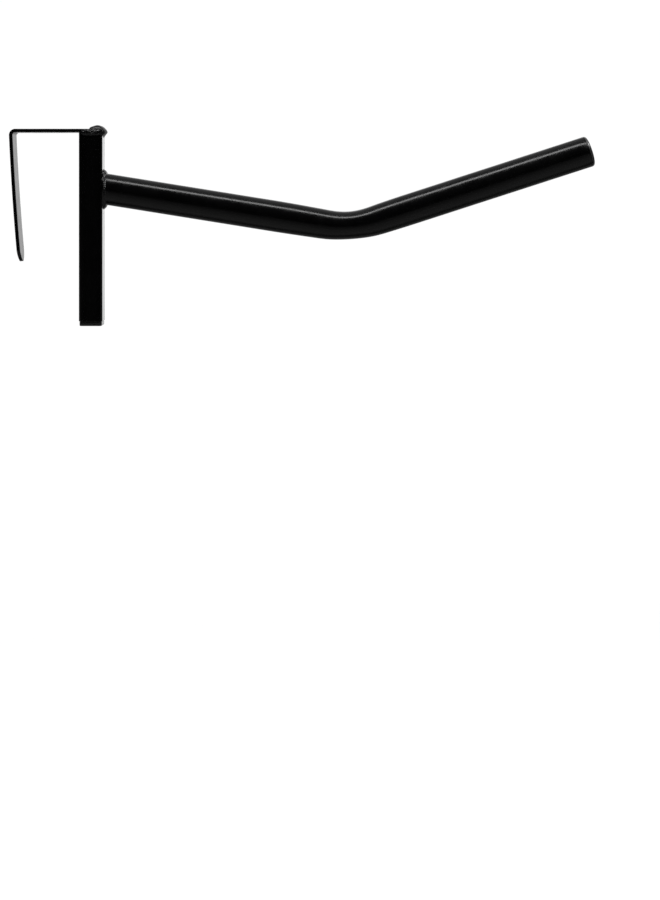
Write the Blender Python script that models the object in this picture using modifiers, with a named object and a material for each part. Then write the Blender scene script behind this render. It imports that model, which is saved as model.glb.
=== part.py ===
"""Over-the-wall saddle rack: a flat-bar hanger, a square post and one bent round arm, welded together.

Units are metres, +Z is up. The hanger's strap lies on the top of a wall, the post bears on the wall's face and
the arm stands out along +X. The origin is the centre of the strap's underside over the wall.
"""

from math import cos, pi, radians, sin, tan

import bmesh
import bpy
from mathutils import Matrix, Vector
from mathutils.geometry import interpolate_bezier

# Clearance between pieces that touch
GAP = 0.0003

# Hanger strap: flat bar, bent once over the wall
WALL_SLOT = 0.0889
STRAP_WIDTH = 0.03175
STRAP_THICKNESS = 0.00476
STRAP_BEND_RADIUS = 0.0035  # at the inside of the bend
STRAP_EDGE_RADIUS = 0.0005
TIP_MARGIN = 0.00005
LEG_LENGTH = 0.1706  # along the leg, below the bend
LEG_LEAN_TOP = radians(2.5)
LEG_LEAN_TIP = radians(5.3)

# Post: square tube
POST_WIDTH = 0.03175
POST_WALL = 0.0021
POST_CORNER = 0.0032
POST_LENGTH = 0.254
POST_PLUG_HEAD = 0.0060
POST_PLUG_EDGE = 0.0013
POST_PLUG_INSET = 0.0004
POST_PLUG_DEPTH = 0.0200

# Arm: round tube, bent once, a little crushed at the bend
ARM_RADIUS = 0.0211
ARM_WALL = 0.0021
ARM_START_DEPTH = 0.0759  # of the arm's axis at the post, below the strap's underside
ARM_CORNER_X = 0.4110
ARM_FALL = radians(9.10)
ARM_RISE = radians(17.94)
ARM_FREE_LENGTH = 0.3415  # from the corner of the axis to the end of the plug
ARM_BEND_RADIUS = 0.161
ARM_CRUSH = 0.10  # share of the diameter lost at the middle of the bend
ARM_CRUSH_REACH = 0.085  # along the axis, each way from the middle of the bend
ARM_PLUG_HEAD = 0.0050
ARM_PLUG_CORNER = 0.0036
ARM_PLUG_DOME = 0.0012
ARM_PLUG_DEPTH = 0.0200

# Insert plugs: thin flexible ribs round a core
PLUG_RIBS = 3
PLUG_RIB_THICKNESS = 0.0015
PLUG_CORE_SHARE = 0.80

# Weld beads
SEAM_BEAD_HEIGHT = 0.0086
SEAM_BEAD_PROUD = 0.0018
SEAM_BEAD_START_X = 0.0470
END_BEAD_CROWN = 0.0044
END_BEAD_REACH = 0.0045
END_BEAD_DROP = 0.0070
END_BEAD_BACK = 0.0172
ARM_BEAD_LEG = 0.0056
ARM_BEAD_BULGE = 0.0007
ARM_BEAD_BACK = 0.0015  # on to the post's side, where the arm is wider than the post
ARM_BEAD_WRAP = 0.0035  # of overhang, over which the bead moves round the post's corner

# Fineness of round shapes
STRAP_BEND_STEPS = 10
LEG_STEPS = 8
TIP_STEPS = 20
CORNER_STEPS = 5
ARM_SIDES = 40
ARM_BEND_STEPS = 22
PLUG_SIDES = 40
BEAD_SIDES = 40
SEAM_BEAD_STEPS = 14

POST_NEAR_X = WALL_SLOT / 2
POST_FAR_X = POST_NEAR_X + POST_WIDTH
POST_MIDDLE_X = POST_NEAR_X + POST_WIDTH / 2
POST_TOP_Z = -GAP
POST_FOOT_Z = POST_TOP_Z - POST_LENGTH
HALF_WIDTH = POST_WIDTH / 2

BLACK_PAINT = ((0.010, 0.010, 0.011, 1.0), 0.28, 0.0)
WELD_PAINT = ((0.013, 0.013, 0.014, 1.0), 0.34, 0.0)
BLACK_PLASTIC = ((0.020, 0.020, 0.021, 1.0), 0.45, 0.0)


# Scene and object helpers


def clear_scene():
    for item in list(bpy.data.objects):
        bpy.data.objects.remove(item, do_unlink=True)


def new_collection(name):
    collection = bpy.data.collections.new(name)
    bpy.context.scene.collection.children.link(collection)
    return collection


def new_material(name, look):
    colour, roughness, metallic = look
    material = bpy.data.materials.new(name)
    material.use_nodes = True
    shader = material.node_tree.nodes["Principled BSDF"]
    shader.inputs["Base Color"].default_value = colour
    shader.inputs["Roughness"].default_value = roughness
    shader.inputs["Metallic"].default_value = metallic
    return material


def new_object(name, data, collection):
    item = bpy.data.objects.new(name, data)
    collection.objects.link(item)
    return item


def finish_piece(item, look, sharp_angle=radians(40)):
    """Gives a sub-part its own material and smooth shading."""
    item.data.materials.clear()
    item.data.materials.append(new_material(item.name + "_finish", look))
    item.data.shade_smooth()
    item.data.set_sharp_from_angle(angle=sharp_angle)
    return item


def as_cutter(item):
    item.hide_render = True
    item.display_type = "WIRE"
    return item


def outline_curve(name, outlines, half_depth, collection, rim=0.0):
    """A filled flat outline with an extrude of half_depth each way and, with rim, rounded rims."""
    curve = bpy.data.curves.new(name, "CURVE")
    curve.dimensions = "2D"
    curve.fill_mode = "BOTH"
    curve.extrude = half_depth - rim
    curve.bevel_depth = rim
    curve.bevel_resolution = 2
    curve.offset = -rim
    for points in outlines:
        spline = curve.splines.new("POLY")
        spline.points.add(len(points) - 1)
        for point, (x, y) in zip(spline.points, points):
            point.co = (x, y, 0.0, 1.0)
        spline.use_cyclic_u = True
    return new_object(name, curve, collection)


def as_mesh(item, collection):
    """Replaces a curve object with its closed mesh in the same place."""
    bpy.context.view_layer.update()
    evaluated = item.evaluated_get(bpy.context.evaluated_depsgraph_get())
    mesh = bpy.data.meshes.new_from_object(evaluated)
    work = bmesh.new()
    work.from_mesh(mesh)
    bmesh.ops.remove_doubles(work, verts=work.verts, dist=0.00001)
    bmesh.ops.recalc_face_normals(work, faces=work.faces)
    work.to_mesh(mesh)
    work.free()
    name, place = item.name, item.matrix_world.copy()
    bpy.data.objects.remove(item, do_unlink=True)
    solid = new_object(name, mesh, collection)
    solid.matrix_world = place
    return solid


def combine(item, other, operation):
    modifier = item.modifiers.new(operation.lower() + "_" + other.name, "BOOLEAN")
    modifier.operation = operation
    modifier.solver = "EXACT"
    modifier.object = other


def lofted_band(name, rings, collection):
    """A closed band through equal-sized rings of points, the last ring joined to the first."""
    mesh = bpy.data.meshes.new(name)
    work = bmesh.new()
    loops = [[work.verts.new(point) for point in ring] for ring in rings]
    for lower, upper in zip(loops, loops[1:] + loops[:1]):
        for i, corner in enumerate(lower):
            j = (i + 1) % len(lower)
            work.faces.new((corner, lower[j], upper[j], upper[i]))
    bmesh.ops.recalc_face_normals(work, faces=work.faces)
    work.to_mesh(mesh)
    work.free()
    return new_object(name, mesh, collection)


def rounded_square(half, corner):
    """Points round a square with rounded corners, in the plane."""
    points = []
    for quarter in range(4):
        turn = quarter * pi / 2
        centre = Matrix.Rotation(turn, 2) @ Vector((half - corner, half - corner))
        for step in range(CORNER_STEPS + 1):
            angle = turn + step / CORNER_STEPS * pi / 2
            points.append((centre.x + corner * cos(angle), centre.y + corner * sin(angle)))
    return points


def arc(centre, radius, start, stop, steps):
    points = []
    for step in range(steps + 1):
        angle = start + (stop - start) * step / steps
        points.append((centre[0] + radius * cos(angle), centre[1] + radius * sin(angle)))
    return points


# Hanger strap


def strap_path():
    """The strap's middle line in the XZ plane, from its end on the post to the tip, and the tip's lean."""
    level = STRAP_THICKNESS / 2
    radius = STRAP_BEND_RADIUS + STRAP_THICKNESS / 2
    bend_x = -WALL_SLOT / 2 - STRAP_THICKNESS / 2 + radius
    points = [(POST_FAR_X, level)]
    points += arc((bend_x, level - radius), radius, pi / 2, pi + LEG_LEAN_TOP, STRAP_BEND_STEPS)
    x, z = points[-1]
    for step in range(LEG_STEPS):
        lean = LEG_LEAN_TOP + (LEG_LEAN_TIP - LEG_LEAN_TOP) * (step + 0.5) / LEG_STEPS
        x += LEG_LENGTH / LEG_STEPS * sin(lean)
        z -= LEG_LENGTH / LEG_STEPS * cos(lean)
        points.append((x, z))
    return points


def tip_cutter(tip, cutters):
    """Leaves a full half circle, a hair wider than the bar, at the free end of the strap."""
    half = STRAP_WIDTH / 2 + TIP_MARGIN
    outline = arc((0.0, 0.0), half, pi, 2 * pi, TIP_STEPS)
    outline += [(2 * half, 0.0), (2 * half, -2 * half), (-2 * half, -2 * half), (-2 * half, 0.0)]
    cutter = as_mesh(outline_curve("tip_cutter", [outline], 3 * STRAP_THICKNESS, cutters), cutters)
    x, z = tip
    centre = Vector((x - half * sin(LEG_LEAN_TIP), 0.0, z + half * cos(LEG_LEAN_TIP)))
    across_to_y = Matrix.Rotation(pi / 2, 4, "Z") @ Matrix.Rotation(pi / 2, 4, "X")
    cutter.matrix_world = (
        Matrix.Translation(centre) @ Matrix.Rotation(-LEG_LEAN_TIP, 4, "Y") @ across_to_y
    )
    return as_cutter(cutter)


def make_strap(parts, cutters):
    path = strap_path()
    curve = bpy.data.curves.new("hanger_strap", "CURVE")
    curve.dimensions = "3D"
    curve.extrude = STRAP_WIDTH / 2
    spline = curve.splines.new("POLY")
    spline.points.add(len(path) - 1)
    for point, (x, z) in zip(spline.points, path):
        point.co = (x, z, 0.0, 1.0)
    ribbon = new_object("hanger_strap", curve, parts)
    ribbon.rotation_euler = (pi / 2, 0.0, 0.0)
    strap = as_mesh(ribbon, parts)
    thicken = strap.modifiers.new("bar_thickness", "SOLIDIFY")
    thicken.thickness = STRAP_THICKNESS
    thicken.offset = 0.0
    thicken.use_even_offset = True
    combine(strap, tip_cutter(path[-1], cutters), "DIFFERENCE")
    soften = strap.modifiers.new("rolled_edges", "BEVEL")
    soften.width = STRAP_EDGE_RADIUS
    soften.segments = 2
    soften.limit_method = "ANGLE"
    soften.angle_limit = radians(40)
    return finish_piece(strap, BLACK_PAINT)


# Post and its plug


def make_post(parts):
    outlines = [
        rounded_square(HALF_WIDTH, POST_CORNER),
        rounded_square(HALF_WIDTH - POST_WALL, POST_CORNER - POST_WALL),
    ]
    post = outline_curve("post_tube", outlines, POST_LENGTH / 2, parts)
    post.location = (POST_MIDDLE_X, 0.0, (POST_TOP_Z + POST_FOOT_Z) / 2)
    return finish_piece(as_mesh(post, parts), BLACK_PAINT)


def square_slab(name, half, corner, low, high, collection, rim=0.0):
    slab = outline_curve(name, [rounded_square(half, corner)], (high - low) / 2, collection, rim)
    slab.location = (POST_MIDDLE_X, 0.0, (low + high) / 2)
    return as_mesh(slab, collection)


def make_post_plug(parts, cutters):
    head_top = POST_FOOT_Z - GAP
    head_foot = head_top - POST_PLUG_HEAD
    head_half = HALF_WIDTH - POST_PLUG_INSET
    plug = square_slab("post_end_plug", head_half, POST_CORNER, head_foot, head_top, parts, POST_PLUG_EDGE)
    bore_half = HALF_WIDTH - POST_WALL - GAP
    bore_corner = POST_CORNER - POST_WALL
    root = (head_top + head_foot) / 2
    slabs = [(bore_half * PLUG_CORE_SHARE, root, head_top + POST_PLUG_DEPTH)]
    for rib in range(PLUG_RIBS):
        low = head_top + POST_PLUG_DEPTH * (rib + 0.6) / PLUG_RIBS - PLUG_RIB_THICKNESS / 2
        slabs.append((bore_half, low, low + PLUG_RIB_THICKNESS))
    for number, (half, low, high) in enumerate(slabs):
        slab = square_slab(f"post_plug_slab_{number}", half, bore_corner, low, high, cutters)
        combine(plug, as_cutter(slab), "UNION")
    return finish_piece(plug, BLACK_PLASTIC)


# Arm and its plug

ARM_START = Vector((POST_FAR_X + GAP, 0.0, -ARM_START_DEPTH))
ARM_OUT = Vector((cos(ARM_FALL), 0.0, -sin(ARM_FALL)))
ARM_UP = Vector((cos(ARM_RISE), 0.0, sin(ARM_RISE)))
ARM_TURN = ARM_FALL + ARM_RISE
ARM_CORNER_Z = -ARM_START_DEPTH - (ARM_CORNER_X - POST_FAR_X - GAP) * tan(ARM_FALL)
ARM_CORNER = Vector((ARM_CORNER_X, 0.0, ARM_CORNER_Z))
ARM_TANGENT = ARM_BEND_RADIUS * tan(ARM_TURN / 2)
ARM_TUBE_END = ARM_CORNER + ARM_UP * (ARM_FREE_LENGTH - ARM_PLUG_HEAD - GAP)


def arm_station(along):
    """The axis point and slope at a distance along the axis from the middle of the bend."""
    half_arc = ARM_BEND_RADIUS * ARM_TURN / 2
    if along <= -half_arc:
        return ARM_CORNER - ARM_OUT * (ARM_TANGENT - half_arc - along), -ARM_FALL
    if along >= half_arc:
        return ARM_CORNER + ARM_UP * (ARM_TANGENT - half_arc + along), ARM_RISE
    slope = (ARM_RISE - ARM_FALL) / 2 + along / ARM_BEND_RADIUS
    start = ARM_CORNER - ARM_OUT * ARM_TANGENT
    centre = start + Vector((sin(ARM_FALL), 0.0, cos(ARM_FALL))) * ARM_BEND_RADIUS
    return centre + Vector((sin(slope), 0.0, -cos(slope))) * ARM_BEND_RADIUS, slope


def arm_ring(centre, slope, radius, crush):
    """A ring square to the axis, flattened in the plane of the bend and widened across it."""
    above = Vector((-sin(slope), 0.0, cos(slope)))
    tall = radius * (1 - crush)
    wide = radius * (1 + crush * 0.35)
    ring = []
    for side in range(ARM_SIDES):
        angle = 2 * pi * side / ARM_SIDES
        ring.append(centre + above * (tall * cos(angle)) + Vector((0.0, wide * sin(angle), 0.0)))
    return ring


def slide_to_plane(ring, direction, plane_x):
    """Moves a ring's points along the tube until they lie on a plane square to X."""
    return [point + direction * ((plane_x - point.x) / direction.x) for point in ring]


def make_arm(parts):
    surfaces = []
    for radius in (ARM_RADIUS, ARM_RADIUS - ARM_WALL):
        first = arm_ring(ARM_START, -ARM_FALL, radius, 0.0)
        rings = [slide_to_plane(first, ARM_OUT, ARM_START.x)]
        for step in range(ARM_BEND_STEPS + 1):
            along = ARM_CRUSH_REACH * (2 * step / ARM_BEND_STEPS - 1)
            crush = ARM_CRUSH * cos(pi / 2 * along / ARM_CRUSH_REACH) ** 2
            centre, slope = arm_station(along)
            rings.append(arm_ring(centre, slope, radius, crush))
        rings.append(arm_ring(ARM_TUBE_END, ARM_RISE, radius, 0.0))
        surfaces.append(rings)
    outside, inside = surfaces
    return finish_piece(lofted_band("arm_tube", outside + inside[::-1], parts), BLACK_PAINT)


def arm_plug_profile():
    """Radius and height from the middle of the head, over its rim, down the ribbed insert to its foot."""
    rim = ARM_PLUG_HEAD - ARM_PLUG_DOME
    flat = ARM_RADIUS - ARM_PLUG_CORNER
    points = [(0.0, ARM_PLUG_HEAD), (flat * 0.5, ARM_PLUG_HEAD - ARM_PLUG_DOME * 0.25)]
    points += arc((flat, rim - ARM_PLUG_CORNER), ARM_PLUG_CORNER, pi / 2, 0.0, 6)
    points.append((ARM_RADIUS, 0.0))
    bore = ARM_RADIUS - ARM_WALL - GAP
    core = bore * PLUG_CORE_SHARE
    points.append((core, 0.0))
    for rib in range(PLUG_RIBS):
        top = -ARM_PLUG_DEPTH * (rib + 0.6) / PLUG_RIBS
        points += [(core, top), (bore, top), (bore, top - PLUG_RIB_THICKNESS), (core, top - PLUG_RIB_THICKNESS)]
    points += [(core, -ARM_PLUG_DEPTH), (0.0, -ARM_PLUG_DEPTH)]
    return points


def make_arm_plug(parts):
    mesh = bpy.data.meshes.new("arm_end_plug")
    work = bmesh.new()
    corners = [work.verts.new((radius, 0.0, height)) for radius, height in arm_plug_profile()]
    for upper, lower in zip(corners, corners[1:]):
        work.edges.new((upper, lower))
    work.to_mesh(mesh)
    work.free()
    plug = new_object("arm_end_plug", mesh, parts)
    turn = plug.modifiers.new("turned_profile", "SCREW")
    turn.steps = PLUG_SIDES
    turn.render_steps = PLUG_SIDES
    turn.use_merge_vertices = True
    turn.merge_threshold = 0.00001
    plug.location = ARM_TUBE_END + ARM_UP * GAP
    plug.rotation_euler = (0.0, pi / 2 - ARM_RISE, 0.0)
    return finish_piece(plug, BLACK_PLASTIC)


# Weld beads


def make_seam_bead(name, side, parts, cutters):
    """A low bead that covers the seam between strap and post on one side, -1 at the front and 1 at the back."""
    height = SEAM_BEAD_HEIGHT / 2
    curve = bpy.data.curves.new(name, "CURVE")
    curve.dimensions = "3D"
    curve.bevel_depth = height
    curve.bevel_resolution = 4
    curve.use_fill_caps = True
    spline = curve.splines.new("POLY")
    spline.points.add(SEAM_BEAD_STEPS)
    for step, point in enumerate(spline.points):
        share = step / SEAM_BEAD_STEPS
        point.co = (SEAM_BEAD_START_X + (POST_FAR_X - SEAM_BEAD_START_X) * share, 0.0, 0.0, 1.0)
        point.radius = max(0.25, (1 - abs(2 * share - 1) ** 4) ** 0.5)
    bead = as_mesh(new_object(name, curve, parts), parts)
    squash = Matrix.Diagonal((1.0, (SEAM_BEAD_PROUD + GAP) / height, 1.0, 1.0))
    bead.data.transform(squash)
    bead.location = (0.0, side * HALF_WIDTH, 0.0)
    bpy.ops.mesh.primitive_cube_add(size=1.0, location=(POST_MIDDLE_X, 0.0, 0.0))
    block = bpy.context.active_object
    block.name = name + "_backing"
    for owner in list(block.users_collection):
        owner.objects.unlink(block)
    cutters.objects.link(block)
    block.scale = (3 * POST_WIDTH, POST_WIDTH + 2 * GAP, POST_WIDTH)
    combine(bead, as_cutter(block), "DIFFERENCE")
    return finish_piece(bead, WELD_PAINT)


def make_end_bead(parts):
    """The heavy bead over the strap's end, from the strap's top round to the post's far face."""
    top = STRAP_THICKNESS + GAP
    face = POST_FAR_X + GAP
    crown = top + END_BEAD_CROWN
    back = Vector((POST_FAR_X - END_BEAD_BACK, top, 0.0))
    peak = Vector((POST_FAR_X - END_BEAD_BACK * 0.42, crown, 0.0))
    nose = Vector((face + END_BEAD_REACH, 0.0, 0.0))
    foot = Vector((face, -END_BEAD_DROP, 0.0))
    rise = Vector((END_BEAD_BACK * 0.25, 0.0, 0.0))
    drop = Vector((0.0, -END_BEAD_DROP * 0.4, 0.0))
    outline = [(face, top)]
    handles = [
        (back, back + Vector((0.002, 0.003, 0.0)), peak - rise, peak),
        (peak, peak + rise, nose - drop * 1.6, nose),
        (nose, nose + drop, foot + Vector((0.001, 0.002, 0.0)), foot),
    ]
    for start, one, two, stop in handles:
        outline += [(p.x, p.y) for p in interpolate_bezier(start, one, two, stop, 6)[:-1]]
    outline.append((foot.x, foot.y))
    bead = outline_curve("strap_weld_end", [outline], HALF_WIDTH - GAP, parts)
    bead.rotation_euler = (pi / 2, 0.0, 0.0)
    return finish_piece(as_mesh(bead, parts), WELD_PAINT)


def arm_bead_section(angle):
    """Corner points of the ring bead round the arm's end at one angle, and a point on the bead's crown.

    Above and below the arm the bead lies in the corner between arm and post. At the sides, where the arm is
    wider than the post, it wraps over the arm's end on to the post's side.
    """
    above = Vector((sin(ARM_FALL), 0.0, cos(ARM_FALL)))
    round_arm = above * cos(angle) + Vector((0.0, sin(angle), 0.0))
    surface = ARM_START + round_arm * (ARM_RADIUS + GAP)
    root_x = POST_FAR_X + GAP
    corner = surface + ARM_OUT * ((root_x - surface.x) / ARM_OUT.x)
    arm_toe = corner + ARM_OUT * ARM_BEAD_LEG
    outward = Vector((0.0, round_arm.y, round_arm.z)).normalized()
    side_y = HALF_WIDTH + GAP
    to_side = (side_y - abs(corner.y)) / max(abs(outward.y), 0.001)
    reach = min(ARM_BEAD_LEG, to_side)
    if reach > 0.0005:
        post_toe = corner + outward * reach
        inner = (corner + post_toe) / 2
        wrap = 0.0
    else:
        inner = Vector((root_x - 2 * GAP, side_y if corner.y > 0 else -side_y, corner.z))
        wrap = min(1.0, -min(0.0, to_side) / ARM_BEAD_WRAP)
        post_toe = inner - Vector((ARM_BEAD_BACK * wrap + GAP, 0.0, 0.0))
    slope = (outward + Vector((1.0, 0.0, 0.0))).normalized()
    fillet_crown = (arm_toe + post_toe) / 2 + slope * ARM_BEAD_BULGE
    wrap_crown = corner + (outward - Vector((0.5, 0.0, 0.0))) * ARM_BEAD_BULGE
    return [arm_toe, corner, inner, post_toe], fillet_crown.lerp(wrap_crown, wrap ** 0.5)


def make_arm_bead(parts):
    rings = []
    for side in range(BEAD_SIDES):
        ring, crown = arm_bead_section(2 * pi * (side + 0.5) / BEAD_SIDES)
        arm_toe, post_toe = ring[0], ring[3]
        control = crown * 2 - (arm_toe + post_toe) / 2
        for share in (0.2, 0.4, 0.6, 0.8):
            ring.append(post_toe.lerp(control, share).lerp(control.lerp(arm_toe, share), share))
        rings.append(ring)
    return finish_piece(lofted_band("arm_weld", rings, parts), WELD_PAINT)


def main():
    clear_scene()
    parts = new_collection("saddle_rack")
    cutters = new_collection("cutters")
    make_strap(parts, cutters)
    make_post(parts)
    make_post_plug(parts, cutters)
    make_arm(parts)
    make_arm_plug(parts)
    make_seam_bead("strap_weld_front", -1, parts, cutters)
    make_seam_bead("strap_weld_back", 1, parts, cutters)
    make_end_bead(parts)
    make_arm_bead(parts)


main()
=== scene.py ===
"""Looks of the over-the-wall saddle rack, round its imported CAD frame. Metres, +Z up, +X along the arm."""

from math import cos, floor, pi, radians, sin, sqrt, tan

import bmesh
import bpy
from mathutils import Matrix, Vector, noise


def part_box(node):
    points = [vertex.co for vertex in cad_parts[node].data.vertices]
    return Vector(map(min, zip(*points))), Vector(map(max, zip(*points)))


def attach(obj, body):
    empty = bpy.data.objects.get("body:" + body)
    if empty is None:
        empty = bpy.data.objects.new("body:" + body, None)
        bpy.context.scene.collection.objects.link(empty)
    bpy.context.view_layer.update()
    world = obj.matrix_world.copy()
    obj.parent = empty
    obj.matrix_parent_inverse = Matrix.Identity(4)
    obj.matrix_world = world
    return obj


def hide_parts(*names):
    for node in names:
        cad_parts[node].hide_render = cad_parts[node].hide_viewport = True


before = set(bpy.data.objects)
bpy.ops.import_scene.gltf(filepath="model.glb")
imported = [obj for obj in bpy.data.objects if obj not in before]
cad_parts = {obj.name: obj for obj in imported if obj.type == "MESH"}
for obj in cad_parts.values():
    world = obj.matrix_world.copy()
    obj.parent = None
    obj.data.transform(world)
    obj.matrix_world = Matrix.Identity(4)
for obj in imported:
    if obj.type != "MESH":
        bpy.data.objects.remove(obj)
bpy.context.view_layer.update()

# ---------------------------------------------------------------- sizes, from the frame and the stock used

POST_LOW, POST_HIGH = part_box("post_tube")
STRAP_LOW, STRAP_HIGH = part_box("hanger_strap")

WALL_SLOT = 2 * POST_LOW.x
STRAP_WIDTH = STRAP_HIGH.y - STRAP_LOW.y
STRAP_THICKNESS = STRAP_HIGH.z
STRAP_BEND_RADIUS = 0.0035  # at the inside of the bend
STRAP_EDGE = 0.00045
LEG_LENGTH = 0.1706
LEG_LEAN_TOP = radians(2.5)
LEG_LEAN_TIP = radians(5.3)
TIP_CURL = 0.0006
TIP_CURL_REACH = 0.018
TIP_SQUARENESS = 1.55  # 2 for a round tip, less for a more pointed one

POST_WIDTH = POST_HIGH.x - POST_LOW.x
POST_MIDDLE_X = (POST_HIGH.x + POST_LOW.x) / 2
POST_WALL = 0.0021
POST_CORNER = 0.0032
HALF = POST_WIDTH / 2

ARM_RADIUS = 0.0211
ARM_WALL = 0.0021
ARM_START_DEPTH = 0.0759  # of the arm's axis at the post, below the strap's underside
ARM_CORNER_X = 0.4110
ARM_FALL = radians(9.10)
ARM_RISE = radians(17.94)
ARM_FREE_LENGTH = 0.3415  # from the corner of the axis to the end of the plug
ARM_BEND_RADIUS = 0.161
ARM_PLUG_HEAD = 0.0050

JOINT_GAP = 0.0003
PLUG_RIBS = 3
PLUG_RIB_THICKNESS = 0.0015
PLUG_CORE_SHARE = 0.8

CORNER_STEPS = 8  # round each corner of the post and its plug
ARM_SIDES = 96
ARM_PLUG_SIDES = 72

UP = Vector((0.0, 0.0, 1.0))
ACROSS = Vector((0.0, 1.0, 0.0))


# ---------------------------------------------------------------- shape helpers


def wobble(point, wavelength, seed=0.0):
    """Smooth noise from -1 to 1 at a place, the same each run."""
    return noise.noise(point / wavelength + Vector((seed, seed * 1.7, seed * 0.3)))


def blend_smooth(value):
    """0 to 1 with soft ends."""
    value = min(1.0, max(0.0, value))
    return value * value * (3 - 2 * value)


def rounded_end(share, squareness):
    """Width left at a share of the way to a rounded end: 2 is a circle's, more is squarer."""
    return max(0.0, 1 - abs(share) ** squareness) ** (1 / squareness)


def along_guide(points, share):
    """A point on a smooth curve through the points (Catmull-Rom, even in its parameter)."""
    spans = len(points) - 1
    place = min(share, 0.999999) * spans
    index = int(place)
    t = place - index
    before, here = points[max(0, index - 1)], points[index]
    there, after = points[index + 1], points[min(spans, index + 2)]
    return 0.5 * (
        2 * here
        + (there - before) * t
        + (2 * before - 5 * here + 4 * there - after) * t * t
        + (3 * here - before - 3 * there + after) * t * t * t
    )


def lofted(name, rings, band=False):
    """A closed mesh through equal-sized rings of points.

    Caps close its first and last rings, or with band the last ring joins the first.
    """
    work = bmesh.new()
    loops = [[work.verts.new(point) for point in ring] for ring in rings]
    following = loops[1:] + (loops[:1] if band else [])
    for lower, upper in zip(loops, following):
        for i in range(len(lower)):
            j = (i + 1) % len(lower)
            work.faces.new((lower[i], lower[j], upper[j], upper[i]))
    if not band:
        work.faces.new(loops[0][::-1])
        work.faces.new(loops[-1])
    bmesh.ops.remove_doubles(work, verts=work.verts, dist=0.000001)
    bmesh.ops.recalc_face_normals(work, faces=work.faces)
    if work.calc_volume(signed=True) < 0:
        bmesh.ops.reverse_faces(work, faces=work.faces)
    mesh = bpy.data.meshes.new(name)
    work.to_mesh(mesh)
    work.free()
    return mesh


def add_piece(mesh, material, replaced=(), sharp=35):
    """An object that rides on the rack and may stand for CAD nodes; sharp is in degrees."""
    piece = bpy.data.objects.new(mesh.name, mesh)
    bpy.context.scene.collection.objects.link(piece)
    mesh.materials.append(material)
    mesh.shade_smooth()
    mesh.set_sharp_from_angle(angle=radians(sharp))
    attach(piece, "root")
    if replaced:
        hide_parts(*replaced)


def rounded_square(half, corner, per_side):
    """Points round a square with rounded corners, anticlockwise."""
    points = []
    for quarter in range(4):
        turn = Matrix.Rotation(quarter * pi / 2, 2)
        centre = turn @ Vector((half - corner, half - corner))
        for step in range(CORNER_STEPS + 1):
            angle = quarter * pi / 2 + step / CORNER_STEPS * pi / 2
            points.append(centre + Vector((cos(angle), sin(angle))) * corner)
        run = 2 * (half - corner)
        along = turn @ Vector((-1.0, 0.0))
        start = points[-1]
        for step in range(1, per_side):
            points.append(start + along * (run * step / per_side))
    return points


# ---------------------------------------------------------------- materials


class Nodes:
    """Short calls for wiring a material's or world's nodes."""

    def __init__(self, tree):
        self.tree = tree
        tree.nodes.clear()

    def add(self, kind, **settings):
        node = self.tree.nodes.new("ShaderNode" + kind)
        for key, value in settings.items():
            setattr(node, key, value)
        return node

    def link(self, source, target):
        self.tree.links.new(source, target)

    def noise(self, place, scale, detail=2.0, roughness=0.5):
        """Noise with a scale in waves a metre."""
        node = self.add("TexNoise")
        node.inputs["Scale"].default_value = scale
        node.inputs["Detail"].default_value = detail
        node.inputs["Roughness"].default_value = roughness
        self.link(place, node.inputs["Vector"])
        return node.outputs["Fac"]

    def spread(self, value, low, high, to_low, to_high):
        """Maps a value's range low..high on to to_low..to_high, with soft ends."""
        node = self.add("MapRange", interpolation_type="SMOOTHSTEP")
        for key, number in (("From Min", low), ("From Max", high), ("To Min", to_low), ("To Max", to_high)):
            node.inputs[key].default_value = number
        self.link(value, node.inputs["Value"])
        return node.outputs["Result"]

    def maths(self, operation, *values):
        """One Math node; each value is a number or another node's output."""
        node = self.add("Math", operation=operation)
        for socket, value in zip(node.inputs, values):
            if isinstance(value, (int, float)):
                socket.default_value = value
            else:
                self.link(value, socket)
        return node.outputs[0]

    def mix(self, factor, one, two):
        """Mixes two colours; each of the three is a value or another node's output."""
        node = self.add("Mix", data_type="RGBA")
        for key, value in (("Factor", factor), ("A", one), ("B", two)):
            sockets = [s for s in node.inputs if s.name == key and s.enabled]
            if hasattr(value, "is_output"):
                self.link(value, sockets[0])
            else:
                sockets[0].default_value = value
        return [s for s in node.outputs if s.enabled][0]

    def bump(self, height, strength, distance, normal=None):
        """Bump over an earlier bump's normal, if there is one; distance is in metres."""
        node = self.add("Bump")
        node.inputs["Strength"].default_value = strength
        node.inputs["Distance"].default_value = distance
        self.link(height, node.inputs["Height"])
        if normal is not None:
            self.link(normal, node.inputs["Normal"])
        return node.outputs["Normal"]


def surface_material(name, ior, coat, coat_roughness):
    """A material with one Principled shader, and the place on the object to drive its patterns."""
    material = bpy.data.materials.new(name)
    material.use_nodes = True
    nodes = Nodes(material.node_tree)
    shader = nodes.add("BsdfPrincipled")
    shader.inputs["IOR"].default_value = ior
    shader.inputs["Coat Weight"].default_value = coat
    shader.inputs["Coat Roughness"].default_value = coat_roughness
    output = nodes.add("OutputMaterial")
    nodes.link(shader.outputs[0], output.inputs["Surface"])
    place = nodes.add("TexCoord").outputs["Object"]
    return material, nodes, shader, place


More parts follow.
